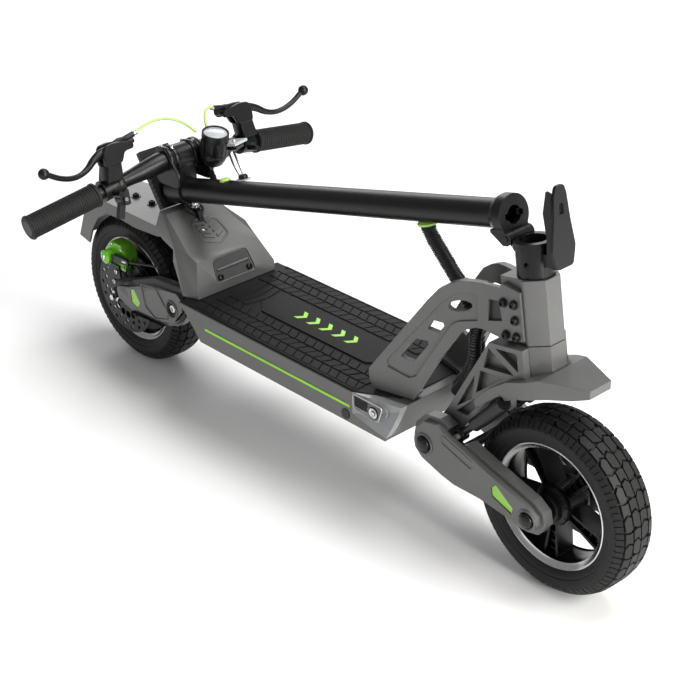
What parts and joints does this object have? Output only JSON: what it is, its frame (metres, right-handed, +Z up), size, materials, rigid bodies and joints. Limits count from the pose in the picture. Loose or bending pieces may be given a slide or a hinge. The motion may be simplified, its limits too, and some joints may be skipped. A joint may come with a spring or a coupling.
{
  "type": "electric kick scooter",
  "caption": "Folding electric kick scooter with grooved deck, twin swing arms, knobbly tyres, rear footrest and a stem that folds back over the deck.",
  "frame": {"origin": "on the ground, under the middle of the scooter's length and width", "axes": "+X forward along the deck, +Y to the rider's left, +Z up"},
  "size_m": [1.1514, 0.5464, 0.5564],
  "materials": {
    "paint_grey": "satin mid grey paint",
    "plate_dark": "satin dark paint",
    "rubber_mat": "moulded rubber with grooves",
    "battery_wrap": "shrink wrap",
    "controller_alloy": "bare finned casting",
    "light_green": "frosted light strip",
    "lens_clear": "clear lens",
    "plastic_black": "black moulding",
    "steel_bright": "bright steel",
    "steel_black": "black oxide steel",
    "alloy_black": "satin black",
    "reflector_green": "prismatic reflector",
    "paint_green": "lime anodised",
    "tyre_black": "pneumatic tyre rubber",
    "disc_steel": "ground disc",
    "rubber_grip": "ribbed rubber",
    "switch_silver": "silver housing",
    "cable_green": "lime cable sleeve",
    "cable_black": "black corrugated sleeve"
  },
  "bodies": {
    "deck": {"deck_shell": "paint_grey", "belly_plate": "plate_dark", "deck_mat": "rubber_mat", "battery_pack": "battery_wrap", "motor_controller": "controller_alloy", "side_light_strips": "light_green", "headlight_wedges": "lens_clear", "charge_port_cap": "plastic_black", "neck_plates": "paint_grey", "head_tube": "paint_grey", "headset_bearings": "steel_bright", "deck_bolts": "steel_black", "rear_footrest": "paint_grey", "rear_fender": "paint_grey", "kickstand_bracket": "steel_black", "fold_hook": "alloy_black", "rear_pivot_axle": "steel_bright"},
    "kickstand": {"kickstand": "steel_black"},
    "rear_arm": {"rear_swingarm": "plate_dark", "rear_arm_covers": "paint_grey", "rear_reflectors": "reflector_green", "rear_axle": "steel_bright", "rear_brake_bracket": "steel_black", "rear_caliper": "paint_green"},
    "rear_caliper_arm": {"rear_caliper_arm": "steel_black"},
    "rear_wheel": {"rear_tyre": "tyre_black", "rear_hub_motor": "alloy_black", "rear_brake_disc": "disc_steel"},
    "fork": {"fork_crown": "paint_grey", "front_fender": "paint_grey", "lower_clamp": "alloy_black", "hinge_pin": "steel_bright", "front_pivot_axle": "steel_black"},
    "lock_lever": {"lock_lever": "alloy_black"},
    "front_arm": {"front_swingarm": "paint_grey", "front_reflectors": "reflector_green", "front_axle": "steel_black", "front_caliper": "paint_green"},
    "front_caliper_arm": {"front_caliper_arm": "steel_black"},
    "shock_bodies": {"front_shock_bodies": "steel_black"},
    "shock_rods": {"front_shock_rods": "steel_bright"},
    "front_wheel": {"front_tyre": "tyre_black", "front_rim": "alloy_black", "front_brake_disc": "disc_steel"},
    "stem": {"stem_flange": "alloy_black", "stem_tube": "alloy_black", "bar_stem": "alloy_black", "handlebar": "alloy_black", "grips": "rubber_grip", "lever_brackets": "alloy_black", "display": "plastic_black", "headlamp": "plastic_black", "switch_pod": "switch_silver", "brake_cables": "cable_green", "wiring_conduit": "cable_black"},
    "brake_lever_right": {"brake_lever_right": "alloy_black"},
    "brake_lever_left": {"brake_lever_left": "alloy_black"},
    "throttle_lever": {"throttle_lever": "plastic_black"}
  },
  "joints": [
    {"name": "steer", "type": "hinge", "parent": "deck", "child": "fork", "pos_m": [0.43425, 0, 0.1275], "axis": [-0.1478, 0, 0.989], "range_deg": [-40, 40]},
    {"name": "stem_fold", "type": "hinge", "parent": "fork", "child": "stem", "pos_m": [0.35645, 0, 0.47219], "axis": [0, 1, 0], "range_deg": [0, 95.35]},
    {"name": "lock_lever", "type": "hinge", "parent": "fork", "child": "lock_lever", "pos_m": [0.42201, 0, 0.45974], "axis": [0, 1, 0], "range_deg": [0, 70]},
    {"name": "front_suspension", "type": "hinge", "parent": "fork", "child": "front_arm", "pos_m": [0.26525, 0, 0.1605], "axis": [0, -1, 0], "range_deg": [0, 7.5], "stiffness_Nm_per_rad": 350, "springref_deg": -11.46},
    {"name": "rear_suspension", "type": "hinge", "parent": "deck", "child": "rear_arm", "pos_m": [-0.27375, 0, 0.1695], "axis": [0, 1, 0], "range_deg": [0, 6.5], "stiffness_Nm_per_rad": 350, "springref_deg": -11.46},
    {"name": "front_wheel_spin", "type": "hinge", "parent": "front_arm", "child": "front_wheel", "pos_m": [0.44825, 0, 0.1275], "axis": [0, 1, 0], "continuous": true},
    {"name": "rear_wheel_spin", "type": "hinge", "parent": "rear_arm", "child": "rear_wheel", "pos_m": [-0.44575, 0, 0.1275], "axis": [0, 1, 0], "continuous": true},
    {"name": "brake_lever_left", "type": "hinge", "parent": "stem", "child": "brake_lever_left", "pos_m": [-0.33805, 0.12512, 0.42651], "axis": [-0.9709, 0, -0.2394], "range_deg": [0, 14], "stiffness_Nm_per_rad": 0.8, "springref_deg": -17.19},
    {"name": "brake_lever_right", "type": "hinge", "parent": "stem", "child": "brake_lever_right", "pos_m": [-0.33805, -0.12512, 0.42651], "axis": [0.9709, 0, 0.2394], "range_deg": [0, 14], "stiffness_Nm_per_rad": 0.8, "springref_deg": -17.19},
    {"name": "rear_caliper_arm", "type": "hinge", "parent": "rear_arm", "child": "rear_caliper_arm", "pos_m": [-0.43775, -0.064, 0.1975], "axis": [0, -1, 0], "range_deg": [0, 20]},
    {"name": "front_caliper_arm", "type": "hinge", "parent": "front_arm", "child": "front_caliper_arm", "pos_m": [0.39825, 0.049, 0.1855], "axis": [0, 1, 0], "range_deg": [0, 20]},
    {"name": "shock_swing", "type": "hinge", "parent": "fork", "child": "shock_bodies", "pos_m": [0.38225, 0, 0.2595], "axis": [0, 1, 0], "range_deg": [0, 4.6]},
    {"name": "shock_slide", "type": "slide", "parent": "shock_bodies", "child": "shock_rods", "axis": [0.686, 0, 0.7276], "range_m": [0, 0.0016]},
    {"name": "kickstand", "type": "hinge", "parent": "deck", "child": "kickstand", "pos_m": [0.00425, 0.078, 0.1425], "axis": [0, 0.8401, 0.5424], "range_deg": [0, 90]},
    {"name": "throttle", "type": "hinge", "parent": "stem", "child": "throttle_lever", "pos_m": [-0.33116, -0.11302, 0.3476], "axis": [-0.9709, 0, -0.2394], "range_deg": [0, 25], "stiffness_Nm_per_rad": 0.3, "springref_deg": -17.19}
  ],
  "couplings": [
    {"joint": "rear_caliper_arm", "follows": "brake_lever_left", "ratio": 1.4},
    {"joint": "front_caliper_arm", "follows": "brake_lever_right", "ratio": 1.4},
    {"joint": "shock_swing", "follows": "front_suspension", "ratio": 0.603},
    {"joint": "shock_slide", "follows": "front_suspension", "m_per_rad": 0.0113}
  ]
}
